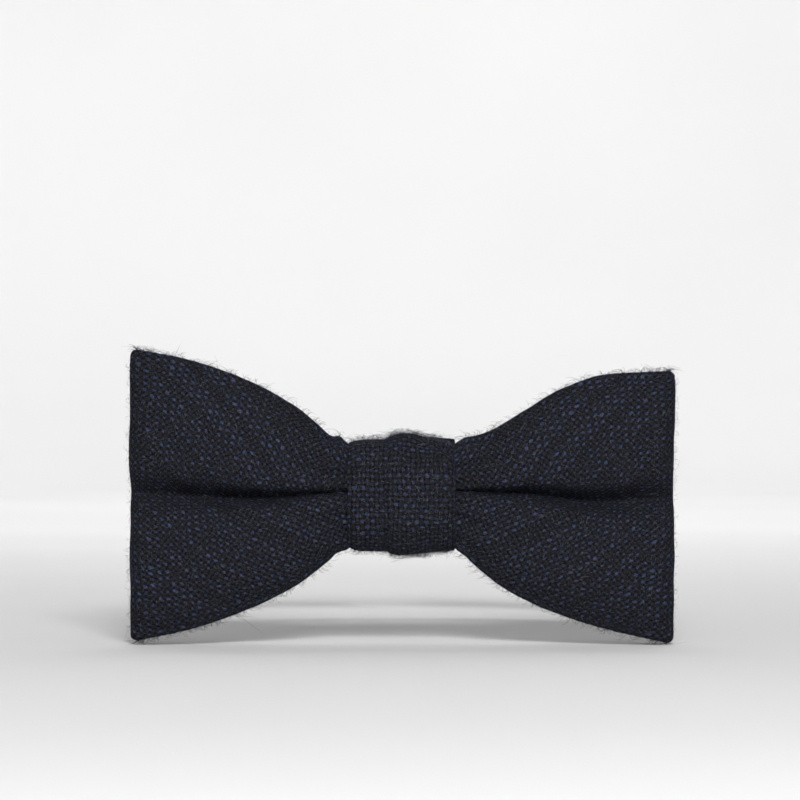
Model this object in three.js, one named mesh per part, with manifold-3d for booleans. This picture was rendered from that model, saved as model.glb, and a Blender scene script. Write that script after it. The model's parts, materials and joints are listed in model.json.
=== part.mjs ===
// A ready-tied bow tie, as worn: a looped bow of woollen cloth pinched by a knot band,
// on an adjustable neck band that closes at the back of the neck with a hook and an eye.
// Millimetres, +Z up, the bow faces -Y. The origin is the middle of the knot's flat back,
// where it rests on the collar button. The neck band runs round the neck towards +Y.
import * as THREE from "three";
import { mergeVertices } from "three/addons/utils/BufferGeometryUtils.js";
import Module from "manifold-3d";

const wasm = await Module();
wasm.setup();

const rad = THREE.MathUtils.degToRad;
const AIR = 0.3; // clearance between pieces that touch

// ---- Bow: outlines of one half each, as [distance from the middle, height] ----
const LEFT_TOP = [[0, 9], [12.5, 9], [15, 12], [19, 16.3], [26, 21.6], [36, 27], [46, 30.5], [61, 33.2]];
const LEFT_BOTTOM = [[0, -9], [12.5, -9], [15, -12.6], [19, -16.4], [26, -21.4], [36, -26], [46, -29.5], [61, -32.8]];
const RIGHT_TOP = [[0, 9], [12.5, 9], [15, 12.6], [19, 14], [26, 18.2], [36, 24.4], [46, 27.4], [61, 28]];
const RIGHT_BOTTOM = [[0, -9], [12.5, -9], [15, -14], [19, -18], [26, -22], [36, -26.4], [46, -29.8], [61, -33.3]];
const CREASE = [[0, 0.5], [12.5, 1], [26, 0.2], [36, -1], [46, -1.2], [61, 0.5]]; // the pleat between the lobes
// Depths along a wing, as [distance from the middle, millimetres]
const RIDGE_Y = [[0, -17.3], [12.5, -17.3], [19, -19.2], [26, -20.4], [36, -21.2], [46, -20.6], [61, -18.6]];
const PLEAT_DROP = [[0, 2.4], [12.5, 2.6], [26, 4.6], [36, 4.6], [46, 3.8], [61, 3]]; // pleat behind the ridges
const EDGE_DROP = [[0, 4.6], [12.5, 4.6], [26, 5], [36, 5.4], [61, 4.6]]; // edges behind the ridges
const BOW_PLY = 2.6; // one ply of the loop: cloth, interfacing, cloth
const CLOTH = 0.9;
const INTERFACING = 0.4;
const FOLD_START = 55; // where the outer folds of the loop begin
const FOLD_REACH = 4.7; // how far a fold's middle goes on outwards
const BACK_PLY_Y = -9.6;
const WAIST = 12.5; // half the length that the knot covers
const LOOP_GAP = 0.8; // between the loop's two ends, behind the waist
const UNDERLAY = { y: -6.3, thick: 2.4, inset: 1.5, waistInset: 0.3, reach: 58 };

// ---- Knot: a band of cloth round the waist, doubled on the right of one pleat ----
const KNOT = { halfWidth: 12.5, front: -22.3, back: 0, halfHeight: 12.6, corner: 5, thick: 1.8 };
const KNOT_PLEAT = { x: -3.4, width: 0.6, rise: 0.9 };
const LINING = { thick: 0.6, halfWidth: 11.5 };
const SEAT_HALF = 4; // half the width of the flat that rests on the collar
const GATHER = { halfWidth: 1.5, thick: 0.4, gap: 0.2, frontCorner: 3.5, backCorner: 0.6 };

// ---- Neck band: arcs round one vertical axis; angles run from the knot towards +X ----
const BAND = { radius: 62, thick: 1.6, halfWidth: 8 };
const AXIS_Y = BAND.radius - 3.9; // the neck's middle: the band passes 3.9 mm in front of the seat
const SWING_AT = 32; // degrees: where each side first flexes
const FLEX_AT = 64; // where it flexes again
const FLEX_GAP = 1.4; // degrees of bare cloth at each side of a flex
const RETURN = { radius: 58.3, thick: 1.2 }; // the strap end that comes back inside, from the hook to the slider
const CLASP_AT = 170; // the bars that hold the hook and the eye
const CLASP_RADIUS = (BAND.radius + RETURN.radius) / 2;
const END_FOLD_FROM = 165; // the end folds stay in one piece from here on
const FIXED_TO = 140; // the outer layer only ever gives way between here and the end fold
const RETURN_FROM = 122;
const SLIDER_AT = 112;
const SLIDER_BAR_RADIUS = 58.65;
const LABEL = { from: -27, to: -17, thick: 0.5, halfWidth: 6.5 };
const SEAM_GAP = 0.3; // degrees between two pieces of one strap
const STEP = 4.6; // degrees between two sections of an arc

const wool = new THREE.MeshStandardMaterial({ color: 0x1c2133, roughness: 0.95, metalness: 0 });
const canvas = new THREE.MeshStandardMaterial({ color: 0xb9b2a3, roughness: 0.9, metalness: 0 });
const thread = new THREE.MeshStandardMaterial({ color: 0x14161d, roughness: 0.7, metalness: 0 });
const nickel = new THREE.MeshStandardMaterial({ color: 0xc4c4c0, roughness: 0.3, metalness: 1 });
const tape = new THREE.MeshStandardMaterial({ color: 0xe6e3da, roughness: 0.8, metalness: 0 });

// ---- Helpers ----

// Smooth value at x through the points of a profile, without overshoot.
function along(profile, x) {
  const last = profile.length - 1;
  if (x <= profile[0][0]) return profile[0][1];
  if (x >= profile[last][0]) return profile[last][1];
  const i = profile.findIndex((_, k) => x < profile[k + 1][0]);
  const rate = (k) => (profile[k + 1][1] - profile[k][1]) / (profile[k + 1][0] - profile[k][0]);
  const slope = (k) => {
    if (k === 0) return 0;
    if (k === last) return rate(k - 1);
    const [before, after] = [rate(k - 1), rate(k)];
    return before * after <= 0 ? 0 : (2 * before * after) / (before + after);
  };
  const [x0, y0] = profile[i];
  const [x1, y1] = profile[i + 1];
  const t = (x - x0) / (x1 - x0);
  const ends = y0 * (1 + 2 * t) * (1 - t) ** 2 + y1 * t * t * (3 - 2 * t);
  const slopes = slope(i) * t * (1 - t) ** 2 - slope(i + 1) * t * t * (1 - t);
  return ends + slopes * (x1 - x0);
}

function signedVolume(points, index) {
  let sum = 0;
  for (let i = 0; i < index.length; i += 3) {
    const [a, b, c] = [points[index[i]], points[index[i + 1]], points[index[i + 2]]];
    sum += a.dot(new THREE.Vector3().crossVectors(b, c));
  }
  return sum;
}

// A closed solid between two grids of points of one layout, walled along the grids' open sides.
function shellSolid(outer, inner, ring = false, tube = false) {
  const rows = outer.length;
  const columns = outer[0].length;
  const points = [...outer.flat(), ...inner.flat()];
  const at = (side, i, j) => side * rows * columns + (i % rows) * columns + (j % columns);
  const index = [];
  const quad = (a, b, c, d, flipped = false) =>
    flipped ? index.push(b, c, d, b, d, a) : index.push(a, b, c, a, c, d);
  const rowSteps = ring ? rows : rows - 1;
  const columnSteps = tube ? columns : columns - 1;
  for (let i = 0; i < rowSteps; i++) {
    for (let j = 0; j < columnSteps; j++) {
      const comesBack = tube && j >= columns / 2; // the far half of a section mirrors the near half
      quad(at(0, i, j), at(0, i + 1, j), at(0, i + 1, j + 1), at(0, i, j + 1), comesBack);
      quad(at(1, i, j), at(1, i, j + 1), at(1, i + 1, j + 1), at(1, i + 1, j), comesBack);
    }
  }
  for (let i = 0; i < rowSteps && !tube; i++) {
    const end = columns - 1;
    quad(at(0, i, 0), at(1, i, 0), at(1, i + 1, 0), at(0, i + 1, 0));
    quad(at(0, i, end), at(0, i + 1, end), at(1, i + 1, end), at(1, i, end));
  }
  for (let j = 0; j < columnSteps && !ring; j++) {
    const end = rows - 1;
    quad(at(0, 0, j), at(0, 0, j + 1), at(1, 0, j + 1), at(1, 0, j));
    quad(at(0, end, j), at(1, end, j), at(1, end, j + 1), at(0, end, j + 1));
  }
  if (signedVolume(points, index) < 0) index.reverse();
  const geometry = new THREE.BufferGeometry().setFromPoints(points);
  geometry.setIndex(index);
  geometry.computeVertexNormals();
  return geometry;
}

function toManifold(geometry) {
  const bare = geometry.clone();
  bare.deleteAttribute("normal");
  bare.deleteAttribute("uv");
  const merged = mergeVertices(bare, 1e-4);
  const mesh = new wasm.Mesh({
    numProp: 3,
    vertProperties: merged.attributes.position.array,
    triVerts: new Uint32Array(merged.index.array),
  });
  return new wasm.Manifold(mesh);
}

// Several overlapping solids as one.
function joined(...geometries) {
  const whole = geometries.map(toManifold).reduce((sum, piece) => sum.add(piece));
  const { vertProperties, triVerts } = whole.getMesh();
  const geometry = new THREE.BufferGeometry();
  geometry.setAttribute("position", new THREE.BufferAttribute(vertProperties, 3));
  geometry.setIndex(new THREE.BufferAttribute(triVerts, 1));
  geometry.computeVertexNormals();
  return geometry;
}

// ---- The bow ----

const LOBE_STEPS = [0.25, 0.5, 0.8, 1]; // from the pleat, over the ridge at a half, to the edge
const ACROSS = [...LOBE_STEPS.toReversed().map((v) => -v), 0, ...LOBE_STEPS]; // bottom edge to top edge
const WING = [15, 19, 26, 36, 46]; // sections of a wing
const FOLD_TURNS = [36, 72, 108, 144]; // sections of an outer fold, in degrees

function outline(x, upper) {
  if (upper) return along(x < 0 ? LEFT_TOP : RIGHT_TOP, Math.abs(x));
  return along(x < 0 ? LEFT_BOTTOM : RIGHT_BOTTOM, Math.abs(x));
}

// The heights of one section, and each height's share of the way from the pleat to the edge.
function heights(x, inset) {
  const crease = along(CREASE, Math.abs(x));
  return ACROSS.map((v) => {
    const reach = outline(x, v > 0) - crease;
    const share = v * (1 - inset / Math.abs(reach));
    return { z: crease + Math.abs(share) * reach, share };
  });
}

// The middle of the front ply: two rounded lobes, one on each side of the pleat.
function frontY(x, share) {
  const u = Math.abs(x);
  const s = 1 - 2 * Math.abs(share);
  return along(RIDGE_Y, u) + along(s > 0 ? PLEAT_DROP : EDGE_DROP, u) * s * s;
}

// The loop's ply, from its right end behind the waist, round the front, to its left end.
// `offset` is the distance outwards from the ply's middle, and `inset` that from its long edges.
function loopGrid(offset, inset) {
  const section = (x, yOf, reach = x) =>
    heights(x, inset).map(({ z, share }) => new THREE.Vector3(reach, yOf(share), z));
  const half = (side) => {
    const back = [LOOP_GAP / 2, WAIST, ...WING, FOLD_START].map((u) =>
      section(side * u, () => BACK_PLY_Y + offset),
    );
    const fold = FOLD_TURNS.map((turn) => {
      const u = FOLD_START + (FOLD_REACH + offset) * Math.sin(rad(turn));
      const yOf = (share) => {
        const front = frontY(side * FOLD_START, share);
        const middle = (front + BACK_PLY_Y) / 2;
        return middle + (BACK_PLY_Y - middle + offset) * Math.cos(rad(turn));
      };
      return section(side * u, yOf);
    });
    const front = [FOLD_START, ...WING.toReversed(), WAIST].map((u) =>
      section(side * u, (share) => frontY(side * u, share) - offset),
    );
    return [...back, ...fold, ...front];
  };
  const waist = section(0, (share) => frontY(0, share) - offset);
  return [...half(1), waist, ...half(-1).toReversed()];
}

const tubeGrid = (offset, inset) => {
  const away = loopGrid(offset, inset);
  const home = loopGrid(-offset, inset);
  return away.map((row, i) => [...row, ...home[i].toReversed()]);
};

// Sewn as a tube, turned out, and folded into a loop whose ends meet behind the waist.
const bowLoop = () => shellSolid(tubeGrid(BOW_PLY / 2, 0), tubeGrid(BOW_PLY / 2 - CLOTH, CLOTH), false, true);

// A strip of canvas inside the loop's ply, on the same facets, its long edges clear of the seams.
function loopInterfacing() {
  const strip = (offset) =>
    loopGrid(offset, CLOTH).map((row) => {
      const trimmed = row.map((p) => p.clone());
      [[0, 1], [row.length - 1, row.length - 2]].forEach(([edge, next]) => {
        trimmed[edge].lerp(row[next], (2 * AIR) / row[edge].distanceTo(row[next]));
      });
      return trimmed;
    });
  return shellSolid(strip(INTERFACING / 2), strip(-INTERFACING / 2));
}

function bowUnderlay() {
  const half = [WAIST, ...WING, UNDERLAY.reach];
  const face = (y) =>
    [...half.toReversed().map((u) => -u), 0, ...half].map((x) => {
      const inset = Math.abs(x) > WAIST ? UNDERLAY.inset : UNDERLAY.waistInset;
      return heights(x, inset).map(({ z }) => new THREE.Vector3(x, y, z));
    });
  return shellSolid(face(UNDERLAY.y - UNDERLAY.thick / 2), face(UNDERLAY.y + UNDERLAY.thick / 2));
}

// ---- The knot ----

const CORNER_TURNS = [0, 30, 60, 90];

// A round-cornered rectangle in the plane at x, between two depths.
function ringSection(x, { front, back, halfHeight, frontCorner, backCorner }) {
  const corners = [[1, 1], [-1, 1], [-1, -1], [1, -1]];
  return corners.flatMap(([toBack, up], quarter) =>
    CORNER_TURNS.map((turn) => {
      const corner = toBack > 0 ? backCorner : frontCorner;
      const angle = rad(90 * quarter + turn);
      const y = (toBack > 0 ? back : front) + corner * (Math.cos(angle) - toBack);
      const z = up * (halfHeight - corner) + corner * Math.sin(angle);
      return new THREE.Vector3(x, y, z);
    }),
  );
}

// How far the band's curve has gone back at x, beyond the edge of the flat seat.
function seatCurve(x) {
  const sagitta = (u) => BAND.radius - Math.sqrt(BAND.radius ** 2 - u * u);
  return Math.max(0, sagitta(Math.abs(x)) - sagitta(SEAT_HALF));
}

// A section of the knot, inset from its outside. Its back follows the neck's curve.
function knotSection(x, inset, rise = 0) {
  const section = ringSection(x, {
    front: KNOT.front + inset - rise,
    back: KNOT.back - inset,
    halfHeight: KNOT.halfHeight - inset + rise,
    frontCorner: KNOT.corner - inset,
    backCorner: KNOT.corner - inset,
  });
  const curveFrom = KNOT.back - 2.5 * KNOT.corner;
  section.forEach((p) => {
    p.y += seatCurve(x) * THREE.MathUtils.smoothstep(p.y, curveFrom, curveFrom + KNOT.corner);
  });
  return section;
}

function knotBand() {
  const pleatTop = KNOT_PLEAT.x + KNOT_PLEAT.width;
  const xs = [-KNOT.halfWidth, -8, -SEAT_HALF, KNOT_PLEAT.x, pleatTop, SEAT_HALF, 8, KNOT.halfWidth];
  const outer = xs.map((x) => knotSection(x, 0, x >= pleatTop ? KNOT_PLEAT.rise : 0));
  return shellSolid(outer, xs.map((x) => knotSection(x, KNOT.thick)), false, true);
}

function knotLining() {
  const xs = [-LINING.halfWidth, -8, -SEAT_HALF, SEAT_HALF, 8, LINING.halfWidth];
  const ring = (inset) => xs.map((x) => knotSection(x, inset));
  return shellSolid(ring(KNOT.thick + AIR), ring(KNOT.thick + AIR + LINING.thick), false, true);
}

// Several turns of thread that hold the loop's waist gathered.
function gatherThread() {
  const ring = (out) =>
    [-GATHER.halfWidth, GATHER.halfWidth].map((x) =>
      ringSection(x, {
        front: RIDGE_Y[0][1] - BOW_PLY / 2 - GATHER.gap - out,
        back: BACK_PLY_Y + BOW_PLY / 2 + GATHER.gap + out,
        halfHeight: LEFT_TOP[0][1] + GATHER.gap + out,
        frontCorner: GATHER.frontCorner - GATHER.thick + out,
        backCorner: GATHER.backCorner - GATHER.thick + out,
      }),
    );
  return shellSolid(ring(GATHER.thick), ring(0), false, true);
}

// The row of slip stitches that closes the knot, on its underside.
function knotClosingStitches() {
  const length = KNOT.halfWidth - KNOT_PLEAT.x - 4;
  const stitches = new THREE.BoxGeometry(length, 0.6, 0.4);
  const below = KNOT.halfHeight + KNOT_PLEAT.rise + AIR + 0.2;
  return stitches.translate(KNOT.halfWidth - 1.5 - length / 2, -2 * KNOT.corner, -below);
}

// ---- The neck band ----

function onArc(angle, radius) {
  return new THREE.Vector2(radius * Math.sin(rad(angle)), AXIS_Y - radius * Math.cos(rad(angle)));
}

// The angles from one to another, in even steps.
function sweep(from, to) {
  const count = Math.max(1, Math.round(Math.abs(to - from) / STEP));
  return Array.from({ length: count + 1 }, (_, i) => from + ((to - from) * i) / count);
}

const arc = (from, to, radius) => sweep(from, to).map((angle) => onArc(angle, radius));

// A flat strap standing on edge along a plan path.
function strap(path, thick, halfWidth) {
  const face = (offset) =>
    path.map((p, i) => {
      const ahead = path[Math.min(i + 1, path.length - 1)];
      const behind = path[Math.max(i - 1, 0)];
      const aside = new THREE.Vector2().subVectors(ahead, behind).normalize();
      const [x, y] = [p.x + aside.y * offset, p.y - aside.x * offset];
      return [-halfWidth, halfWidth].map((z) => new THREE.Vector3(x, y, z));
    });
  return shellSolid(face(thick / 2), face(-thick / 2));
}

const bandArc = (from, to, radius = BAND.radius) =>
  strap(arc(from, to, radius), radius === BAND.radius ? BAND.thick : RETURN.thick, BAND.halfWidth);

// The turn of a strap round a bar, from the outer layer to the inner one.
function barTurn(angle, barRadius, turnRadius, ahead) {
  const bar = onArc(angle, barRadius);
  const outward = onArc(angle, barRadius + 1).sub(bar);
  const forward = new THREE.Vector2(-outward.y, outward.x).multiplyScalar(ahead);
  return [0, 30, 60, 90, 120, 150, 180].map((turn) =>
    bar
      .clone()
      .addScaledVector(outward, turnRadius * Math.cos(rad(turn)))
      .addScaledVector(forward, turnRadius * Math.sin(rad(turn))),
  );
}

// The end of one side: the outer layer, the turn round the clasp's bar, and the layer that comes back.
function endFold(side, from, backTo) {
  const turnRadius = (BAND.radius - RETURN.radius) / 2;
  const path = [
    ...arc(side * from, side * (CLASP_AT - 1), BAND.radius),
    ...barTurn(side * CLASP_AT, CLASP_RADIUS, turnRadius, side),
    ...arc(side * (CLASP_AT - 1), side * backTo, RETURN.radius),
  ];
  return strap(path, RETURN.thick, BAND.halfWidth);
}

// The strap's tail, turned round the slider's middle bar and sewn back on itself.
function tailEndLoop() {
  const turnRadius = 1.65;
  const path = [
    onArc(SLIDER_AT + 5, SLIDER_BAR_RADIUS + turnRadius - 0.1),
    ...barTurn(SLIDER_AT, SLIDER_BAR_RADIUS, turnRadius, -1),
    onArc(SLIDER_AT + 4, SLIDER_BAR_RADIUS - turnRadius + 0.2),
    onArc(RETURN_FROM - SEAM_GAP, RETURN.radius),
  ];
  return strap(path, RETURN.thick, BAND.halfWidth);
}

// A short dense row of stitches across a strap, just inside its inner face.
function barTack(angle, radius) {
  const halfLength = 0.8;
  const halfArc = THREE.MathUtils.radToDeg(halfLength / radius);
  return strap([onArc(angle - halfArc, radius), onArc(angle + halfArc, radius)], 0.4, BAND.halfWidth - 2);
}

const careLabel = () =>
  strap(
    arc(LABEL.from, LABEL.to, BAND.radius - BAND.thick / 2 - AIR - LABEL.thick / 2),
    LABEL.thick,
    LABEL.halfWidth,
  );

// ---- The fittings: local x runs along the band towards its end, y across it, z outwards ----

const PLATE = 0.8; // the fittings' metal
const BAR_HALF = 0.6;
const FRAME_HALF = 9.6; // half the fittings' width
const WINDOW_HALF = 8.5; // half the opening for the strap

function atBand(geometry, angle, radius) {
  const side = Math.sign(angle);
  const foot = onArc(angle, radius);
  const outward = onArc(angle, radius + 1).sub(foot);
  const matrix = new THREE.Matrix4().makeBasis(
    new THREE.Vector3(-outward.y * side, outward.x * side, 0),
    new THREE.Vector3(0, 0, side),
    new THREE.Vector3(outward.x, outward.y, 0),
  );
  matrix.setPosition(foot.x, foot.y, 0);
  return geometry.applyMatrix4(matrix);
}

function roundedRectangle(path, x0, x1, halfHeight, corner) {
  path.absarc(x1 - corner, halfHeight - corner, corner, 0, Math.PI / 2);
  path.absarc(x0 + corner, halfHeight - corner, corner, Math.PI / 2, Math.PI);
  path.absarc(x0 + corner, corner - halfHeight, corner, Math.PI, 1.5 * Math.PI);
  path.absarc(x1 - corner, corner - halfHeight, corner, 1.5 * Math.PI, 2 * Math.PI);
  path.closePath();
  return path;
}

// A flat plate with round corners and windows, each window as [start, end, half its width].
function framePlate(length, windows) {
  const shape = roundedRectangle(new THREE.Shape(), -BAR_HALF, length, FRAME_HALF, 0.9);
  windows.forEach(([x0, x1, half]) => shape.holes.push(roundedRectangle(new THREE.Path(), x0, x1, half, 0.4)));
  const plate = new THREE.ExtrudeGeometry(shape, { depth: PLATE, bevelEnabled: false, curveSegments: 2 });
  return plate.translate(0, 0, -PLATE / 2);
}

const STRAP_WINDOW = [BAR_HALF, 3.9, WINDOW_HALF];

// The hook: a frame on the strap's bar, and a tongue bent outwards and back.
function hookClasp() {
  const tongueHalf = 3;
  const bend = { at: 7.6, radius: 1.5 };
  const [outer, inner] = [bend.radius + PLATE / 2, bend.radius - PLATE / 2];
  const side = new THREE.Shape();
  side.moveTo(4.4, -PLATE / 2);
  side.absarc(bend.at, bend.radius, outer, -Math.PI / 2, Math.PI / 2);
  side.lineTo(5.4, bend.radius + outer);
  side.lineTo(5.4, bend.radius + inner);
  side.absarc(bend.at, bend.radius, inner, Math.PI / 2, -Math.PI / 2, true);
  side.lineTo(4.4, PLATE / 2);
  side.closePath();
  const tongue = new THREE.ExtrudeGeometry(side, { depth: 2 * tongueHalf, bevelEnabled: false, curveSegments: 6 });
  tongue.rotateX(Math.PI / 2).translate(0, tongueHalf, 0);
  return atBand(joined(framePlate(5.3, [STRAP_WINDOW]), tongue), CLASP_AT, CLASP_RADIUS);
}

// The eye: the same frame, with a slot beyond it for the hook's tongue.
const eyeClasp = () => atBand(framePlate(8.3, [STRAP_WINDOW, [5.1, 7.1, 4]]), -CLASP_AT, CLASP_RADIUS);

// The slider: two end bars outside the outer layer and a middle bar inside it, on two side rails.
function sliderFrame() {
  const halfLength = 5;
  const lift = BAND.thick / 2 + AIR; // from the outer layer's middle to the end bars
  const sink = SLIDER_BAR_RADIUS - BAND.radius;
  const railThick = FRAME_HALF - WINDOW_HALF;
  const side = new THREE.Shape();
  side.moveTo(-halfLength, lift + 1);
  side.lineTo(-halfLength, lift);
  side.lineTo(-1.2, sink - BAR_HALF);
  side.lineTo(1.2, sink - BAR_HALF);
  side.lineTo(halfLength, lift);
  side.lineTo(halfLength, lift + 1);
  side.closePath();
  const rail = (from) => {
    const geometry = new THREE.ExtrudeGeometry(side, { depth: railThick, bevelEnabled: false });
    return geometry.rotateX(Math.PI / 2).translate(0, from + railThick, 0);
  };
  const bar = (x, z, length) => new THREE.BoxGeometry(length, 2 * FRAME_HALF - railThick, 1).translate(x, 0, z);
  const frame = joined(
    rail(WINDOW_HALF),
    rail(-FRAME_HALF),
    bar(0.8 - halfLength, lift + 0.5, 1.6),
    bar(halfLength - 0.8, lift + 0.5, 1.6),
    bar(0, sink, 2 * BAR_HALF),
  );
  return atBand(frame, SLIDER_AT, BAND.radius);
}

// ---- The whole ----

const stitchRadius = RETURN.radius - RETURN.thick / 2 - AIR; // bar tacks lie just inside the inner layer

const pieces = [
  ["bow_loop", bowLoop(), wool],
  ["loop_interfacing", loopInterfacing(), canvas],
  ["bow_underlay", bowUnderlay(), wool],
  ["gather_thread", gatherThread(), thread],
  ["knot_band", knotBand(), wool],
  ["knot_lining", knotLining(), canvas],
  ["knot_closing_stitches", knotClosingStitches(), thread],
  ["care_label", careLabel(), tape],
  ["neckband_centre", bandArc(FLEX_GAP - SWING_AT, SWING_AT - FLEX_GAP), wool],
  ["neckband_left_front", bandArc(-SWING_AT - FLEX_GAP, FLEX_GAP - FLEX_AT), wool],
  ["neckband_left_rear", bandArc(-FLEX_AT - FLEX_GAP, SEAM_GAP - END_FOLD_FROM), wool],
  ["left_end_fold", endFold(-1, END_FOLD_FROM, 159), wool],
  ["left_end_tack", barTack(-161, stitchRadius), thread],
  ["eye_clasp", eyeClasp(), nickel],
  ["neckband_right_front", bandArc(SWING_AT + FLEX_GAP, FLEX_AT - FLEX_GAP), wool],
  ["neckband_right_rear", bandArc(FLEX_AT + FLEX_GAP, FIXED_TO), wool],
  ["neckband_right_slack", bandArc(FIXED_TO + SEAM_GAP, END_FOLD_FROM - SEAM_GAP), wool],
  ["right_end_fold", endFold(1, END_FOLD_FROM, END_FOLD_FROM), wool],
  ["hook_clasp", hookClasp(), nickel],
  ["neckband_return", bandArc(RETURN_FROM, END_FOLD_FROM - SEAM_GAP, RETURN.radius), wool],
  ["slider_frame", sliderFrame(), nickel],
  ["tail_end_loop", tailEndLoop(), wool],
  ["tail_tack", barTack(RETURN_FROM - 2, stitchRadius - 2 * AIR), thread],
];

const bowTie = new THREE.Group();
for (const [name, geometry, material] of pieces) {
  const mesh = new THREE.Mesh(geometry, material);
  mesh.name = name;
  bowTie.add(mesh);
}

export default bowTie;
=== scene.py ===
"""The looks of the ready-tied bow tie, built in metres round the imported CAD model.

The cloth is a plain weave of charcoal warp and navy weft. Every cloth piece is a strip with rounded long
edges: a grid of points along its middle, given thickness, with the weave laid on it in yarn counts.
The lengths below are millimetres until a mesh is made.
"""
import json
import math

import bpy
import numpy as np
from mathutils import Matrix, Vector


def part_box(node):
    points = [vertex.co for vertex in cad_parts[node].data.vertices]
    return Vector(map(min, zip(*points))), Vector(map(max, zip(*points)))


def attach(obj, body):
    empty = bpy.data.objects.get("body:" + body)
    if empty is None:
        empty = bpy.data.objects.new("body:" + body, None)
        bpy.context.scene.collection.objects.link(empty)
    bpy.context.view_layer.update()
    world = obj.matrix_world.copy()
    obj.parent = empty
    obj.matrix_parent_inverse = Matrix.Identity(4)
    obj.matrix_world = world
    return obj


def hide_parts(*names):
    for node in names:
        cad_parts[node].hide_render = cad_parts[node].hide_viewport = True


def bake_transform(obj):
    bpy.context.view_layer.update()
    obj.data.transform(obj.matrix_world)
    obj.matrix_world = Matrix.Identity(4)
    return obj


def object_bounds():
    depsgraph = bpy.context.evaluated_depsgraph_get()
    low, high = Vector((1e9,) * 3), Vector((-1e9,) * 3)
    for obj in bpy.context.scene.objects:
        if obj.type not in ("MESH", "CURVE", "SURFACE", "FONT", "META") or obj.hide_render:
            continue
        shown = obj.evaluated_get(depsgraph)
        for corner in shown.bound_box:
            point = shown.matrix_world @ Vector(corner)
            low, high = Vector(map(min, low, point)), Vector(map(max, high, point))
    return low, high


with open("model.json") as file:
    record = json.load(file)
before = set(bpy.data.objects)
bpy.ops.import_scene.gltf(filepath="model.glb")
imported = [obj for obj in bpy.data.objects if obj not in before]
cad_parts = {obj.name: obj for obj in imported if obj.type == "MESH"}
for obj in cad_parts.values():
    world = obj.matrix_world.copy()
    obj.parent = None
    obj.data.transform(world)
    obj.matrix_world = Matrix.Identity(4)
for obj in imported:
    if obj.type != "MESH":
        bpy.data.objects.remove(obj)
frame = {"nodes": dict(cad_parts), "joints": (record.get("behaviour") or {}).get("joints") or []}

CAD_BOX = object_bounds()
MM = 0.001
UP, RIGHT = (0, 0, 1), (1, 0, 0)
rng = np.random.default_rng(11)

# ---- Driving dimensions ----

# The bow's profiles. Each point is a distance from the bow's middle and the value there. Where the wings
# differ, -1 is the left one and 1 the right one.
PROFILE_TOP = {
    -1: [
        (0, 9), (10.6, 10.7), (12.5, 11.8), (14.1, 13.4), (15.4, 13.2), (16.4, 13.6),
        (19, 16), (24, 20), (35, 26), (50, 31), (61, 33),
    ],
    1: [
        (0, 9), (10.6, 10.7), (12.5, 12), (14, 12.9), (17.4, 13.6),
        (21.2, 15.2), (27.5, 19), (36, 24), (46.5, 27.3), (61, 28),
    ],
}
PROFILE_LOW = {
    -1: [
        (0, -9), (10.6, -10.7), (12.5, -12.1), (14.2, -12.6), (17, -15),
        (24, -20.2), (36, -26), (48, -30), (61, -32.8),
    ],
    1: [
        (0, -9), (10.6, -10.8), (12.5, -12.3), (13.7, -13.1), (16.7, -15.9),
        (24, -21.4), (36, -26.8), (48, -30.4), (61, -33.3),
    ],
}
CREASE = {
    -1: [(0, 0.9), (12.3, 0.9), (23.5, 0.1), (31, -0.4), (38, -0.5), (47, 0), (61, 0.7)],
    1: [(0, 1), (12.5, 1.1), (21, 0.9), (28.6, 0.7), (36, -0.5), (43.6, -1.2), (61, -0.2)],
}
RIDGE_Y = [
    (0, -17.3), (12.5, -17.6), (19, -19.4), (26, -20.5), (36, -21.2), (46, -20.8), (54, -19.8), (61, -18),
]
PLEAT_DROP = [(0, 1.9), (12.5, 2.1), (18, 3.3), (26, 4.7), (36, 5), (46, 5.2), (54, 5.4), (61, 4.8)]
PLEAT_POWER = [(0, 8), (12.5, 8), (20, 7), (30, 5), (40, 4), (61, 3)]
EDGE_DROP = [(0, 4.4), (12.5, 4.4), (26, 5.6), (36, 6), (61, 4.6)]
EDGE_POWER = 2.6
SLIT_DEPTH = [(0, 0.2), (12.5, 0.3), (22, 1.3), (30, 2.6), (38, 3.2), (46, 3), (54, 2.2), (61, 1.2)]
SLIT_HALF = [(0, 0.5), (12.5, 0.5), (22, 0.8), (30, 1.3), (38, 1.9), (46, 2.4), (61, 3.2)]
BOW_HALF_PLY = 1.3  # half the thickness of the bow's ply
FOLD_START = 55  # distance from the middle at which the outer fold starts
FOLD_REACH = 4.7  # how far beyond that the fold's middle surface goes
BACK_PLY_Y = -9.6  # where the wings' back ply lies
WAIST = 12.5  # distance from the middle at which a wing leaves the knot
GATHER_DEPTH = 0.38
SWELLS = (0.42, 0.14)  # heights of the wings' slow and fine unevenness
LOBES_MEET = 48  # distance from the middle past which the two lobes are one flat cloth
UNDERLAY_INSET = 1.6  # how far the rear layer's long edges lie inside the front's

YARN = 1.1  # between neighbouring yarns in the bow, which is cut on the bias
PULLED = (1.03, 0.96)  # how far the bias cloth is drawn out along a lobe, and in across it
KNOT_YARN = (1.02, 1.27)  # warp and weft spacing in the knot, which is cut on the straight
RELIEF = 0.19  # how far the yarns stand proud of the cloth's middle
KNOT_PLEAT_X = -3.4  # the pleat's left edge
KNOT_LAYER = 1.1  # the thickness of one layer
KNOT_HALF = 11.8  # half the height of the lower layer's middle
KNOT_CORNERS = (7.5, 3.6)  # radii of the knot section's corners, at the front and at the back
KNOT_LEFT, KNOT_RIGHT = -11.6, 11.5
KNOT_UNDER_END = 9.2  # the right edge of the layer under the pleat, out of sight

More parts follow.
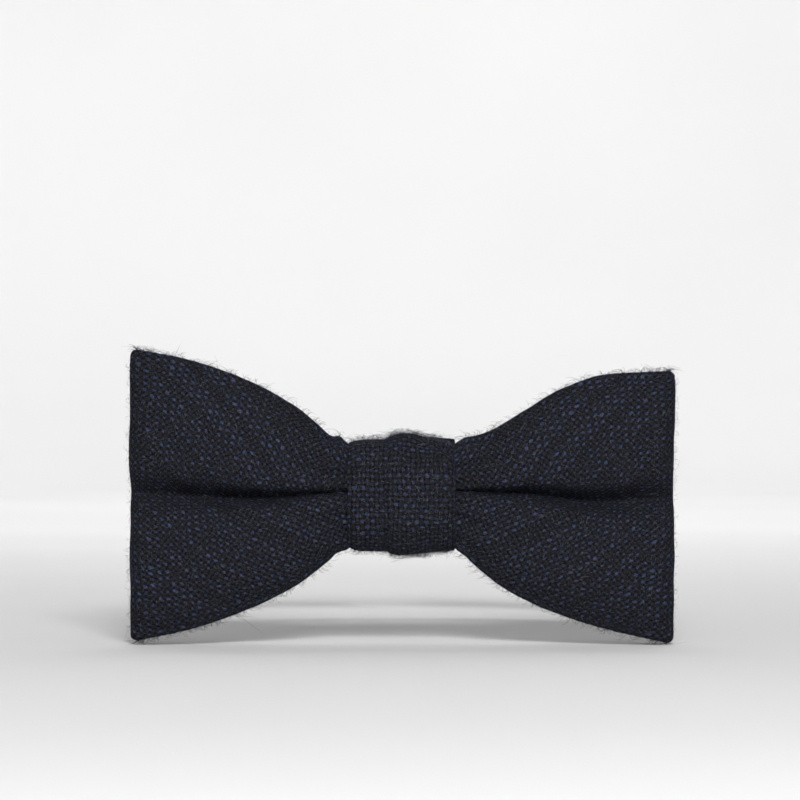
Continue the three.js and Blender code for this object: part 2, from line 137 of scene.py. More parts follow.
SPACING = 0.28  # between mesh rows on the cloth that faces the front
COARSE = 1.2  # and on the wings' back
CANVAS_HALF = 0.25  # half the thickness of the canvas
TAPE_HALF = 0.16  # and of the label
STITCH_RADIUS = 0.16
TACK_HALF = 6.0  # half the length of a bar tack, across the strap
KNOT_EDGE_ROWS = (-6, 0, 6)  # mesh rows about the knot's top and bottom that carry long fibres
KNOT_EDGE_NAP = 0.2  # their number on each row, as a share of that on a wing's edge
NAP_FIBRES = 5600

# Colours, linear. A cloth's four are its warp, the warp's paler fibres, its dim weft and its bright weft.
WOOL = ((0.0110, 0.0114, 0.0142), (0.030, 0.030, 0.030), (0.0145, 0.0195, 0.0410), (0.0335, 0.0465, 0.1000))
WEFT_HUES = ((0.8, 1.08, 0.98), (1.28, 0.94, 0.98))  # a mix of these two tints each bright yarn
STRAY = (0.110, 0.110, 0.106)
FIBRES = ((0.012, 0.012, 0.014), (0.022, 0.036, 0.10), (0.13, 0.13, 0.122))
CANVAS = ((0.36, 0.33, 0.27), (0.46, 0.42, 0.35), (0.33, 0.30, 0.25), (0.44, 0.41, 0.34))
TAPE = ((0.74, 0.72, 0.67), (0.80, 0.78, 0.73), (0.72, 0.70, 0.65), (0.80, 0.78, 0.73))
THREAD_COLOUR = (0.010, 0.011, 0.017)
THREAD_PALE = (0.03, 0.034, 0.05)
NICKEL = (0.52, 0.50, 0.47)
NICKEL_DULL = (0.40, 0.385, 0.36)
FLOOR_TONES = ((0.76, 0.76, 0.76), (0.79, 0.79, 0.79))

JOINTS = {j["name"]: j for j in frame["joints"]}
AXIS_Y = JOINTS["band_adjust"]["pos_m"][1] / MM


def polar(point_m):
    """Angle from the knot round the neck, in degrees, and radius in mm, of a point in metres."""
    x, y = point_m[0] / MM, AXIS_Y - point_m[1] / MM
    return math.degrees(math.atan2(x, y)), math.hypot(x, y)


SWING_AT, BAND_R = polar(JOINTS["right_band_swing"]["pos_m"])
CLASP_AT, CLASP_R = polar(JOINTS["hook_swivel"]["pos_m"])
RETURN_R = 2 * CLASP_R - BAND_R
STRAP_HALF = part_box("neckband_centre")[1].z / MM
STRAP_THICK = 1.6
RETURN_THICK = 1.2
SLIDER_LOW, SLIDER_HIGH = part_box("slider_frame")
SLIDER_AT, _ = polar((SLIDER_LOW + SLIDER_HIGH) / 2)
SLIDER_BAR_R = 58.65  # the slider's middle bar, from the neck's axis
TAIL_LOOP_R = 1.65
KNOT_LOW, KNOT_HIGH = (np.array(corner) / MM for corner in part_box("knot_band"))


# ---- Curves and grids ----

def curve(points, x):
    """Smooth value at x through a profile's points, without overshoot."""
    xs, ys = (np.array(c, float) for c in zip(*points))
    rate = np.diff(ys) / np.diff(xs)
    slope = np.zeros(len(xs))
    product = rate[:-1] * rate[1:]
    total = rate[:-1] + rate[1:]
    slope[1:-1] = np.where(product > 0, 2 * product / np.where(product > 0, total, 1), 0)
    slope[-1] = rate[-1]
    x = np.clip(np.asarray(x, float), xs[0], xs[-1])
    i = np.clip(np.searchsorted(xs, x, side="right") - 1, 0, len(xs) - 2)
    w = xs[i + 1] - xs[i]
    t = (x - xs[i]) / w
    return (
        ys[i] * (1 + 2 * t) * (1 - t) ** 2
        + ys[i + 1] * t * t * (3 - 2 * t)
        + w * t * (1 - t) * (slope[i] * (1 - t) - slope[i + 1] * t)
    )


def box_mm(node):
    """The low and high corner of a CAD node's box, in millimetres."""
    return (np.array(corner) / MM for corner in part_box(node))


def stacked(*parts):
    """A grid of vectors from the values, rows, columns or grids of each of their parts."""
    return np.stack(np.broadcast_arrays(*parts), axis=-1)


def smoothstep(a, b, x):
    t = np.clip((x - a) / (b - a), 0, 1)
    return t * t * (3 - 2 * t)


def unit(v):
    return v / np.maximum(np.linalg.norm(v, axis=-1, keepdims=True), 1e-9)


def steps(a, b, spacing):
    """Values from a to b about spacing apart, both ends included."""
    return np.linspace(a, b, max(2, int(round(abs(b - a) / spacing)) + 1))


def arc_lengths(points):
    """Distance along a row of points, from its first."""
    gaps = np.linalg.norm(np.diff(points, axis=0), axis=-1)
    return np.append(0.0, np.cumsum(gaps))


def resampled(points, spacing):
    """The same line with points an even distance apart."""
    along = arc_lengths(points)
    even = steps(0, along[-1], spacing)
    return np.stack([np.interp(even, along, points[:, k]) for k in range(points.shape[1])], axis=1)


def wander(p, q, size, seed):
    """A smooth pseudo-random field of p and q, about -1 to 1, with waves about size long."""
    local = np.random.default_rng(seed)
    value = 0
    for k in range(6):
        turn = local.uniform(0, 2 * math.pi)
        phase = local.uniform(0, 2 * math.pi)
        wave = size * local.uniform(0.6, 1.7)
        value = value + np.sin((p * math.cos(turn) + q * math.sin(turn)) * 2 * math.pi / wave + phase)
    return value / 3


def grid_normals(points, like):
    """Unit normals of a grid of points, on the side that `like` points to."""
    rows = np.gradient(points, axis=0)
    columns = np.gradient(points, axis=1)
    normals = unit(np.cross(rows, columns))
    return normals * np.sign(np.sum(normals * like, axis=-1, keepdims=True) + 1e-9)


def weave_height(uv):
    """Height of a plain weave, from about -1 to 1, at a place given in yarn counts."""
    a, b = uv[..., 0], uv[..., 1]
    warp_wave = np.cos(np.pi * (b - 0.5 + np.floor(a)))
    weft_wave = -np.cos(np.pi * (a - 0.5 + np.floor(b)))
    warp_round = np.sqrt(np.maximum(0, 1 - (2 * (a % 1) - 1) ** 2))
    weft_round = np.sqrt(np.maximum(0, 1 - (2 * (b % 1) - 1) ** 2))
    return np.maximum(0.5 * warp_wave + 0.9 * warp_round, 0.5 * weft_wave + 0.8 * weft_round) - 0.7


# ---- Meshes ----

def new_object(name, data):
    obj = bpy.data.objects.new(name, data)
    bpy.context.scene.collection.objects.link(obj)
    return obj


def new_mesh(name, points, faces, material, uv=None):
    """An object from points in mm; uv holds one pair for each corner of each face."""
    mesh = bpy.data.meshes.new(name)
    mesh.from_pydata((np.asarray(points) * MM).tolist(), [], faces)
    mesh.shade_smooth()
    if uv is not None:
        layer = mesh.uv_layers.new(name="weave")
        layer.data.foreach_set("uv", np.asarray(uv, np.float32).ravel())
    mesh.materials.append(material)
    return new_object(name, mesh)


def skin(name, points, uv, material, ring=False):
    """A closed skin over a grid whose columns go all the way round. uv has one more column than points,
    and one more row too if the rows also go round."""
    rows, columns = points.shape[:2]
    last = rows if ring else rows - 1
    i, j = np.meshgrid(np.arange(last), np.arange(columns), indexing="ij")
    i, j = i.ravel(), j.ravel()
    i2, j2 = (i + 1) % rows, (j + 1) % columns
    quads = np.stack([i * columns + j, i2 * columns + j, i2 * columns + j2, i * columns + j2], axis=1)
    corners = np.stack([uv[i, j], uv[i + 1, j], uv[i + 1, j + 1], uv[i, j + 1]], axis=1)
    faces = quads.tolist()
    loops = [corners.reshape(-1, 2)]
    if not ring:
        faces.append(list(range(columns)))
        faces.append([(rows - 1) * columns + k for k in reversed(range(columns))])
        loops += [uv[0, :columns], uv[rows - 1, :columns][::-1]]
    obj = new_mesh(name, points.reshape(-1, 3), faces, material, np.concatenate(loops))
    if signed_volume(points.reshape(-1, 3), quads) < 0:
        obj.data.flip_normals()
    return obj


def signed_volume(points, quads):
    """Above 0 if the faces turn outwards."""
    a, b, c, d = (points[quads[:, k]] for k in range(4))
    return float(np.sum(a * np.cross(b, c)) + np.sum(a * np.cross(c, d)))


def round_off(middle, out, across, flat, half, end):
    """Adds rows past one end of a strip, over which it rounds off to nothing."""
    near, far = (0, 1) if end == 0 else (-1, -2)
    ahead = unit(middle[near] - middle[far])
    flat_ahead = unit(flat[near] - flat[far])
    reach = half[near]
    turns = np.radians([20, 40, 60, 78])
    more = [middle[near] + ahead * reach * math.sin(t) for t in turns]
    more_flat = [flat[near] + flat_ahead * reach * t for t in turns]
    more_half = [reach * math.cos(t) for t in turns]
    same_out, same_across = ([grid[near]] * len(turns) for grid in (out, across))
    added = (middle, more), (out, same_out), (across, same_across), (flat, more_flat), (half, more_half)
    grids = []
    for grid, extra in added:
        extra = np.stack(extra)
        grids.append(np.concatenate([extra[::-1], grid] if end == 0 else [grid, extra]))
    return grids


def strip(
    name, middle, out, across, flat, half, material, lay, relief=0.0, ring=False, inner_step=1, round_ends=()
):
    """A cloth strip with thickness and round long edges.
    middle: grid of points; out: outward unit normals; across: unit vector of the columns' direction;
    flat: where each point lies in the flat cloth (and one more row if the rows go round);
    half: half the thickness; lay: turns flat places to yarn counts; relief: how far the yarns stand proud;
    ring: the rows go all the way round; inner_step: how many columns one column of the inner face spans;
    round_ends: the ends that round off, 0 the first and 1 the last."""
    half = np.broadcast_to(np.asarray(half, float), (len(middle), 1))
    across = np.broadcast_to(np.array(across, float), (len(middle), 3))
    for end in round_ends:
        middle, out, across, flat, half = round_off(middle, out, across, flat, half, end)
    rows, columns = middle.shape[:2]
    inner_columns = np.unique(np.append(np.arange(0, columns, inner_step), columns - 1))[::-1]
    turns = np.radians(np.arange(15, 170, 15))
    thick = half if not ring else np.append(half, half[:1], axis=0)
    beyond = unit(flat[:, -1] - flat[:, -2])
    before = unit(flat[:, 0] - flat[:, 1])
    flat_top = [flat[:, -1] + beyond * thick * t for t in turns]
    flat_inner = (flat[:, -1] + beyond * thick * math.pi)[:, None] + flat[:, -1:] - flat[:, inner_columns]
    flat_low = [flat_inner[:, -1] - before * thick * t for t in turns]
    closing = flat_inner[:, -1] - before * thick * math.pi
    flat_top, flat_low = np.stack(flat_top, 1), np.stack(flat_low, 1)
    whole = np.concatenate([flat, flat_top, flat_inner, flat_low, closing[:, None]], axis=1)
    uv = lay(whole)

    lift = weave_height(uv[:rows]) * relief if relief else np.zeros((rows, whole.shape[1]))
    half = half[..., None]
    outer = middle + out * half
    outer = outer + grid_normals(outer, out) * lift[:, :columns, None]

    def rounded(column, first, side):
        """Points round a long edge. Its lift starts at the column first, and is less on a thin strip."""
        edge = []
        for k, t in enumerate(turns):
            puffed = half[:, 0] + lift[:, first + k, None] * np.minimum(1, half[:, 0] / 0.5)
            outward = side * (out[:, column] * math.cos(t) + across * math.sin(t))
            edge.append(middle[:, column] + puffed * outward)
        return np.stack(edge, 1)

    inner = (middle - out * half)[:, inner_columns]
    top = rounded(-1, columns, 1)
    low = rounded(0, columns + len(turns) + len(inner_columns), -1)
    points = np.concatenate([outer, top, inner, low], axis=1)
    return skin(name, points, uv, material, ring), outer


class Tubes:
    """Many thin closed tubes gathered in one mesh."""

    def __init__(self, sides=4):
        self.sides, self.points, self.faces, self.shades = sides, [], [], []
        self.count = 0

    def add(self, line, radius, shade=0.0, taper=False):
        line = np.asarray(line, float)
        along = unit(np.gradient(line, axis=0))
        helper = np.array([0.0, 0.0, 1.0]) if abs(along[0][2]) < 0.9 else np.array([1.0, 0.0, 0.0])
        aside = unit(np.cross(along, helper))
        above = np.cross(along, aside)
        n, s = len(line), self.sides
        angle = np.arange(s) * 2 * math.pi / s
        width = radius * (np.linspace(1, 0.35, n) if taper else np.ones(n))
        ring = aside[:, None] * np.cos(angle)[None, :, None] + above[:, None] * np.sin(angle)[None, :, None]
        points = line[:, None] + ring * width[:, None, None]
        base = self.count

        def at(i, k):
            return base + i * s + k % s

        for i in range(n - 1):
            for k in range(s):
                self.faces.append([at(i, k), at(i, k + 1), at(i + 1, k + 1), at(i + 1, k)])
        self.faces.append([at(0, k) for k in reversed(range(s))])
        self.faces.append([at(n - 1, k) for k in range(s)])
        self.points.append(points.reshape(-1, 3))
        self.shades += [shade] * (n * s)
        self.count += n * s

    def build(self, name, material):
        obj = new_mesh(name, np.concatenate(self.points), self.faces, material)
        attribute = obj.data.attributes.new("shade", "FLOAT", "POINT")
        attribute.data.foreach_set("value", np.array(self.shades, np.float32))
        return obj


# ---- Materials ----

class Graph:
    """Short names for the nodes of one material."""

    def __init__(self, name):
        self.material = bpy.data.materials.new(name)
        self.material.use_nodes = True
        self.tree = self.material.node_tree
        self.shader = self.tree.nodes["Principled BSDF"]

    def node(self, kind, **settings):
        made = self.tree.nodes.new(kind)
        for key, value in settings.items():
            setattr(made, key, value)
        return made

    def plug(self, socket, value):
        if hasattr(value, "links"):
            self.tree.links.new(value, socket)
        else:
            socket.default_value = value

    def math(self, operation, *values):
        made = self.node("ShaderNodeMath", operation=operation)
        for socket, value in zip(made.inputs, values):
            self.plug(socket, value)
        return made.outputs[0]

    def between(self, value, low, high, out_low=0.0, out_high=1.0):
        made = self.node("ShaderNodeMapRange", interpolation_type="SMOOTHSTEP")
        for socket, given in zip(made.inputs, (value, low, high, out_low, out_high)):
            self.plug(socket, given)
        return made.outputs[0]

    def mix(self, factor, first, second, blend="MIX"):
        made = self.node("ShaderNodeMix", data_type="RGBA", blend_type=blend)
        colours = [(*c, 1) if isinstance(c, tuple) else c for c in (first, second)]
        self.plug(made.inputs[0], factor)
        self.plug(made.inputs[6], colours[0])
        self.plug(made.inputs[7], colours[1])
        return made.outputs[2]

    def vector(self, x, y, z=0.0):
        made = self.node("ShaderNodeCombineXYZ")
        for socket, value in zip(made.inputs, (x, y, z)):
            self.plug(socket, value)
        return made.outputs[0]

    def grey(self, value):
        return self.vector(value, value, value)

    def noise(self, vector, scale, detail=2.0):
        made = self.node("ShaderNodeTexNoise")
        self.plug(made.inputs["Vector"], vector)
        made.inputs["Scale"].default_value = scale
        made.inputs["Detail"].default_value = detail
        return made.outputs["Fac"]

    def chance(self, vector):
        made = self.node("ShaderNodeTexWhiteNoise", noise_dimensions="2D")
        self.plug(made.inputs["Vector"], vector)
        return made.outputs["Value"]

    def paint(self, colour, roughness):
        self.plug(self.shader.inputs["Base Color"], colour)
        self.plug(self.shader.inputs["Roughness"], roughness)

    def bump(self, height, distance):
        made = self.node("ShaderNodeBump")
        made.inputs["Distance"].default_value = distance
        self.plug(made.inputs["Height"], height)
        self.plug(self.shader.inputs["Normal"], made.outputs[0])

    def object_place(self):
        return self.node("ShaderNodeTexCoord").outputs["Object"]


def woven(name, warp, warp_pale, weft_dim, weft_bright, bump=0.00022, loose=0.8):
    """A plain weave laid on the map of yarn counts. loose is how much the pale stray fibres show, and how
    far the weft's hue wanders."""
    g = Graph(name)
    place = g.node("ShaderNodeUVMap", uv_map="weave").outputs[0]
    split = g.node("ShaderNodeSeparateXYZ")
    g.plug(split.inputs[0], place)
    a, b = split.outputs[0], split.outputs[1]
    column, row = g.math("FLOOR", a), g.math("FLOOR", b)

    def wave(along, index):
        shifted = g.math("ADD", g.math("SUBTRACT", along, 0.5), index)
        return g.math("COSINE", g.math("MULTIPLY", shifted, math.pi))

    def roundness(across):
        centred = g.math("MULTIPLY_ADD", g.math("FRACT", across), 2.0, -1.0)
        squared = g.math("POWER", g.math("ABSOLUTE", centred), 2.0)
        return g.math("SQRT", g.math("MAXIMUM", g.math("SUBTRACT", 1.0, squared), 0.0))

    warp_width = g.between(g.chance(g.vector(column, 0.5)), 0.0, 1.0, 0.8, 1.05)
    weft_width = g.between(g.chance(g.vector(0.5, row)), 0.0, 1.0, 0.55, 0.8)
    warp_fibres = g.noise(g.vector(g.math("MULTIPLY", a, 5.0), b), 2.0)
    weft_fibres = g.noise(g.vector(a, g.math("MULTIPLY", b, 5.0)), 2.0)
    ragged = g.math("MULTIPLY_ADD", g.noise(place, 4.0, 3.0), 1.9, -0.95)
    warp_height = g.math("MULTIPLY_ADD", wave(b, column), 0.5, g.math("MULTIPLY", roundness(a), warp_width))
    weft_height = g.math("MULTIPLY_ADD", wave(a, row), -0.5, g.math("MULTIPLY", roundness(b), weft_width))
    height = g.math("MAXIMUM", warp_height, weft_height)
    ends = g.math("MULTIPLY_ADD", roundness(a), 0.45, -0.45)
    lead = g.math("ADD", g.math("SUBTRACT", weft_height, warp_height), g.math("ADD", ragged, ends))
    weft_on_top = g.between(lead, 0.36, 0.92)

    cell = g.chance(g.vector(column, row))
    patch = g.noise(place, 0.14, 3.0)
    warp_colour = g.mix(g.between(warp_fibres, 0.5, 0.8), warp, warp_pale)
    strong = g.math("MULTIPLY", g.math("POWER", cell, 0.5), g.between(patch, 0.3, 0.65, 0.7, 1.15))
    hue = g.mix(g.chance(g.vector(row, column)), *WEFT_HUES)
    bright = g.mix(1.0, weft_bright, g.mix(loose, (1.0, 1.0, 1.0), hue), "MULTIPLY")
    strong = g.math("MULTIPLY", strong, g.between(weft_fibres, 0.3, 0.65, 0.5, 1.25))
    weft_colour = g.mix(strong, weft_dim, bright)
    cloth = g.mix(weft_on_top, warp_colour, weft_colour)
    # Painted shade: the cloth's colour is darkened where the yarns lie low, in the gaps between them. The
    # grain below is a random tone of the wool.
    gap_shade = g.between(g.math("MULTIPLY_ADD", ragged, 0.5, height), 0.25, 1.1, 0.16, 1.12)
    grain = g.between(g.noise(place, 4.6, 4.0), 0.32, 0.68, 0.42, 1.58)
    shaded = g.mix(1.0, cloth, g.grey(g.math("MULTIPLY", gap_shade, grain)), "MULTIPLY")
    for one, other in ((a, b), (b, a)):
        drawn_out = g.vector(g.math("MULTIPLY", one, 0.9), g.math("MULTIPLY", other, 4.4))
        stray = g.between(g.noise(drawn_out, 1.7, 3.0), 0.64, 0.71)
        shaded = g.mix(g.math("MULTIPLY", stray, loose), shaded, STRAY)
    g.paint(shaded, g.between(warp_fibres, 0.2, 0.8, 0.82, 1.0))
    g.shader.inputs["Specular IOR Level"].default_value = 0.04
    fuzz = g.math("ADD", g.math("MULTIPLY", warp_fibres, 0.7), g.math("MULTIPLY", weft_fibres, 0.7))
    g.bump(g.math("ADD", height, fuzz), bump)
    return g.material


def fibre_material():
    """Loose wool fibres: mostly charcoal, some navy, a few pale."""
    g = Graph("wool_fibres")
    shade = g.node("ShaderNodeAttribute", attribute_name="shade").outputs["Fac"]
    colour = g.mix(g.between(shade, 0.5, 0.75), FIBRES[0], FIBRES[1])
    colour = g.mix(g.between(shade, 0.84, 0.94), colour, FIBRES[2])
    g.paint(colour, 0.8)
    return g.material


def thread_material():
    """Twisted sewing thread."""
    g = Graph("sewing_thread")
    place = g.object_place()
    twist = g.noise(place, 2600.0, 1.0)
    g.paint(g.mix(g.between(twist, 0.35, 0.65), THREAD_COLOUR, THREAD_PALE), 0.6)
    g.bump(twist, 0.00005)
    return g.material


def metal_material():
    """Nickel plate with fine polishing marks and duller patches."""
    g = Graph("nickel_plate")
    place = g.object_place()
    marks = g.noise(place, 900.0, 4.0)
    wear = g.noise(place, 160.0, 3.0)
    g.shader.inputs["Metallic"].default_value = 1.0
    g.paint(g.mix(g.between(wear, 0.35, 0.7), NICKEL, NICKEL_DULL), g.between(marks, 0.3, 0.75, 0.2, 0.42))
    g.bump(marks, 0.00001)
    return g.material


# ---- The bow ----

def section(side, u, v, inset):
    """Heights of the bow's middle surface, and their share of the way from the crease to the edge."""
    crease = curve(CREASE[side], u)
    top = curve(PROFILE_TOP[side], u) - inset - crease
    low = curve(PROFILE_LOW[side], u) + inset - crease
    reach = np.where(v > 0, top, low)
    return crease + np.abs(v) * reach, v * (1 - inset / (np.abs(reach) + inset))


def lobe_depth(u, share, from_crease):
    """Depth of the front ply: two puffed lobes with a pleat between them."""
    s = 1 - 2 * np.abs(share)
    pleat = curve(PLEAT_DROP, u) * np.abs(s) ** curve(PLEAT_POWER, u)
    edge = curve(EDGE_DROP, u) * np.abs(s) ** EDGE_POWER
    slit = curve(SLIT_DEPTH, u) * np.exp(-((np.abs(from_crease) / curve(SLIT_HALF, u)) ** 2.4))
    return curve(RIDGE_Y, u) + np.where(s > 0, pleat, edge) + slit


def gathers(side, u, share, z):
    """Soft folds that run out from the knot, and the cloth's slow unevenness."""
    near = np.exp(-(np.maximum(u - WAIST, 0) / 9.0) ** 1.4)
    bend = 0.12 * np.sin(u / 7.0 + side)
    broad = np.sin(2 * math.pi * (3.1 * share + 0.21 * side + bend))
    fan = broad + 0.5 * np.sin(2 * math.pi * (5.3 * share - bend))
    slow = wander(u, z, 26.0, 40 + side) * smoothstep(14, 26, u)
    fine = wander(u, z, 9.0, 50 + side) * smoothstep(14, 20, u)
    clear_of_pleat = smoothstep(0.05, 0.2, np.abs(share))
    return GATHER_DEPTH * near * fan * clear_of_pleat + SWELLS[0] * slow + SWELLS[1] * fine


def wing_surface(side, fine, v):
    """One wing's ply, front, outer fold and back: its middle points and outward normals, and each row's
    distance from the bow's middle and turn round the outer fold."""
    front_u = np.concatenate([steps(2, 11, 3)[:-1], steps(11, FOLD_START, fine)])
    turns = steps(0, math.pi, fine / (FOLD_REACH + BOW_HALF_PLY))[1:-1]
    back_u = steps(FOLD_START, 2, COARSE)
    row_u = np.concatenate([front_u, FOLD_START + FOLD_REACH * np.sin(turns), back_u])
    row_turn = np.concatenate([np.zeros(len(front_u)), turns, np.full(len(back_u), math.pi)])
    u, turn, v = row_u[:, None], row_turn[:, None], v[None, :]
    z, share = section(side, u, v, BOW_HALF_PLY)
    front = lobe_depth(np.minimum(u, FOLD_START), share, z - curve(CREASE[side], u))
    half_depth = (BACK_PLY_Y - front) / 2
    y = front + half_depth * (1 - np.cos(turn))
    out = stacked(side * np.sin(turn), -np.cos(turn), 0 * v)
    points = stacked(side * u, y, z)
    depth = np.cos(turn / 2) ** 2 * 0.9 + 0.1
    points = points + out * (gathers(side, u, share, z) * depth)[..., None]
    return points, out, row_u, row_turn


def uneven(a, b, seed, share=1.0):
    """Yarn counts with the slight wander of hand-spun yarns."""
    sway = [0.2 * wander(a, b, 7.0, seed + k) + 0.1 * wander(a, b, 2.7, seed + 2 + k) for k in range(2)]
    return stacked(a + share * sway[0], b + share * sway[1])


def on_bias(flat):
    """Yarn counts at a flat place, for cloth cut on the bias."""
    u, w = flat[..., 0] / PULLED[0], flat[..., 1] / PULLED[1]
    return uneven((u + w) / math.sqrt(2) / YARN, (u - w) / math.sqrt(2) / YARN, 60)


def laid_flat(side, points, u, turn, v):
    """Where a wing's points lie in the flat cloth. The pleat takes in more cloth towards the knot, so the
    cloth of each lobe is turned to run along the lobe, and the two meet only past the pleat's end."""
    flat = np.zeros(points.shape[:2] + (2,))
    stations = np.arange(0, 64, 4.0)
    meet = int(np.argmax(u > LOBES_MEET))
    seam = {}
    for sign in (-1, 1):
        ridge_z, _ = section(side, stations, np.full(len(stations), 0.5 * sign), BOW_HALF_PLY)
        lean = np.interp(u, stations, np.gradient(sign * ridge_z, stations))
        lean = np.sin(np.arctan(lean)) * np.cos(turn)
        columns = np.flatnonzero(v * sign > 0)[::sign]
        part = points[:, columns]
        ridge = int(np.argmin(np.abs(np.abs(v[columns]) - 0.5)))
        away = np.stack([arc_lengths(row) for row in part])
        away -= away[:, ridge : ridge + 1]
        along = arc_lengths(part[:, ridge])
        level = np.sqrt(1 - lean**2)
        to_ridge = -away[meet, 0] * level[meet]
        squeeze = np.minimum(1, to_ridge / np.maximum(-away[:, 0] * level, 1e-6))[:, None]
        across = away * level[:, None]
        across = to_ridge + np.where(across < 0, across * squeeze, across)
        start = along[:, None] + away * lean[:, None]
        seam[sign] = start[meet, 0]
        flat[:, columns, 0] = start - seam[sign] + seam[-1]
        flat[:, columns, 1] = sign * across
    return flat


def wing(side, name, cloth):
    """One wing of the front bow, with what the nap needs: the surface that shows, and the long edges."""
    middle_gap = 0.003
    half_columns = 112
    v_half = np.linspace(middle_gap, 1, half_columns)
    v = np.concatenate([-v_half[::-1], v_half])
    points, out, u, turn = wing_surface(side, SPACING, v)
    flat = laid_flat(side, points, u, turn, v)
    obj, outer = strip(name, points, out, UP, flat, BOW_HALF_PLY, cloth, on_bias, RELIEF, inner_step=6)
    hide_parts("bow_loop")
    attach(obj, "root")
    seen = outer[turn < math.pi * 0.8]
    edges = []
    for column, way in ((0, -1.0), (-1, 1.0)):
        line = points[u > WAIST, column] + (0, 0, way * BOW_HALF_PLY)
        edges.append((line, np.tile([0, 0, way], (len(line), 1)), 1.0))
    return obj, (seen, grid_normals(seen, out[: len(seen)])), edges


def fine_weave(flat):
    """Yarn counts at a flat place, for canvas and tape."""
    return uneven(flat[..., 0] / 0.4, flat[..., 1] / 0.4, 80, 0.6)


def interfacing(side, name, canvas):
    """The canvas inside one wing's ply."""
    points, out, _, _ = wing_surface(side, 2.0, np.linspace(-0.95, 0.95, 41))
    flat = stacked(arc_lengths(points[:, 20])[:, None], points[..., 2])
    obj, _ = strip(name, points, out, UP, flat, CANVAS_HALF, canvas, fine_weave)
    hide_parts("loop_interfacing")
    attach(obj, "root")


def underlay(cloth):
    """The rear bow layer."""
    low, high = box_mm("bow_underlay")
    half = (high[1] - low[1]) / 2
    middle_y = (high[1] + low[1]) / 2
    x = steps(low[0] + half, high[0] - half, 0.5)
    v = np.linspace(-1, 1, 121)
    u = np.abs(x)[:, None]
    inset = UNDERLAY_INSET * smoothstep(WAIST, 20, u) + half
    left, right = (section(side, u, v[None, :], inset) for side in (-1, 1))
    z, share = (np.where(x[:, None] < 0, one, other) for one, other in zip(left, right))
    near = np.exp(-np.maximum(u - WAIST, 0) / 14.0)
    fold = 0.5 * near * np.sin(2 * math.pi * 2.6 * share) * smoothstep(11, 16, u)
    swell = 0.35 * wander(x[:, None], z, 30.0, 71) * smoothstep(13, 22, u)
    y = middle_y - fold - swell
    points = stacked(x[:, None], y, z)
    out = np.broadcast_to(np.array([0.0, 1.0, 0.0]), points.shape)
    shift = 7.3  # so that its weave doesn't match the front's
    flat = stacked(points[..., 0] + shift, points[..., 2])
    name, relief = "bow_underlay_cloth", 0.08
    obj, _ = strip(name, points, out, UP, flat, half, cloth, on_bias, relief, round_ends=(0, 1))
    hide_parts("bow_underlay")
    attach(obj, "root")
    return obj


# ---- The knot ----

def knot_path(outset):
    """The knot's section in the YZ plane, evenly spaced from the middle of its back, up and over the front,
    outset from the middle of its lower layer."""
    front, back = KNOT_LOW[1] + 2.0 - outset, KNOT_HIGH[1] - 1.35 + outset
    half = KNOT_HALF + outset
    corner_front, corner_back = (radius + outset for radius in KNOT_CORNERS)
    corners = (
        (back - corner_back, half - corner_back, corner_back, 0),
        (front + corner_front, half - corner_front, corner_front, 90),
        (front + corner_front, corner_front - half, corner_front, 180),
        (back - corner_back, corner_back - half, corner_back, 270),
    )
    turns = np.radians(np.linspace(0, 90, 24))
    loop = [(back, 0.0)]
    for y, z, r, start in corners:
        for t in turns + math.radians(start):
            loop.append((y + r * math.cos(t), z + r * math.sin(t)))
    loop.append((back, 0.0))
    loop = np.array(loop)
    loop[:, 0] -= 0.9 * (1 - (loop[:, 1] / half) ** 2) * smoothstep(-12, -19, loop[:, 0])
    return resampled(loop, SPACING)[:-1]


def neck_curve(x):
    """How far the band behind the knot has curved back at x, beyond the flat seat."""
    seat_half = 4
    return np.maximum(0, math.sqrt(BAND_R**2 - seat_half**2) - np.sqrt(BAND_R**2 - x * x))


def round_waist(path, x):
    """Points and outward normals of cloth that runs round the waist, and the distance along its path."""
    tangent = np.roll(path, -1, axis=0) - np.roll(path, 1, axis=0)
    points, out = (np.zeros((len(path), len(x), 3)) for _ in range(2))
    points[..., 0] = x
    points[..., 1:] = path[:, None]
    out[..., 1:] = unit(stacked(tangent[:, 1], -tangent[:, 0]))[:, None]
    return points, out, arc_lengths(np.vstack([path, path[:1]]))


def knot_layer(name, x0, x1, outset, lift, cloth, seed):
    """One layer of the knot's cloth, from x0 to x1, as a ring round the waist. lift says how far it stands
    off its path at a place."""
    path = knot_path(outset)
    x = steps(x0, x1, SPACING)
    columns = len(x)
    points, out, along = round_waist(path, x)
    points[..., 1] += smoothstep(-12, -5, points[..., 1]) * neck_curve(points[..., 0])
    back = smoothstep(-5, -1, path[:, :1])
    slow = 0.3 * wander(points[..., 0], along[:-1, None], 13.0, seed) * (1 - back)
    points += out * (slow + lift(points[..., 0], points[..., 2]) * (1 - back))[..., None]
    girth = along[-1]
    weft = 2 * round(girth / KNOT_YARN[1] / 2)  # an even number of yarns, so that the weave meets itself

    def lay(flat):
        sway = np.sin(math.pi * np.clip(flat[..., 1] / girth, 0, 1))
        return uneven(flat[..., 0] / KNOT_YARN[0], flat[..., 1] / girth * weft, seed + 1, sway)

    flat = stacked(x, along[:, None])
    half = KNOT_LAYER / 2
    obj, outer = strip(name, points, out, RIGHT, flat, half, cloth, lay, RELIEF, ring=True, inner_step=6)
    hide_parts("knot_band")
    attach(obj, "root")
    edges = []
    for way in (-1.0, 1.0):
        row = int(np.argmax(way * outer[:, columns // 2, 2]))
        outward = np.tile([0.0, 0.0, way], (columns, 1))
        edges += [(outer[row + k], outward, KNOT_EDGE_NAP) for k in KNOT_EDGE_ROWS]
    return obj, (outer, grid_normals(outer, out)), edges


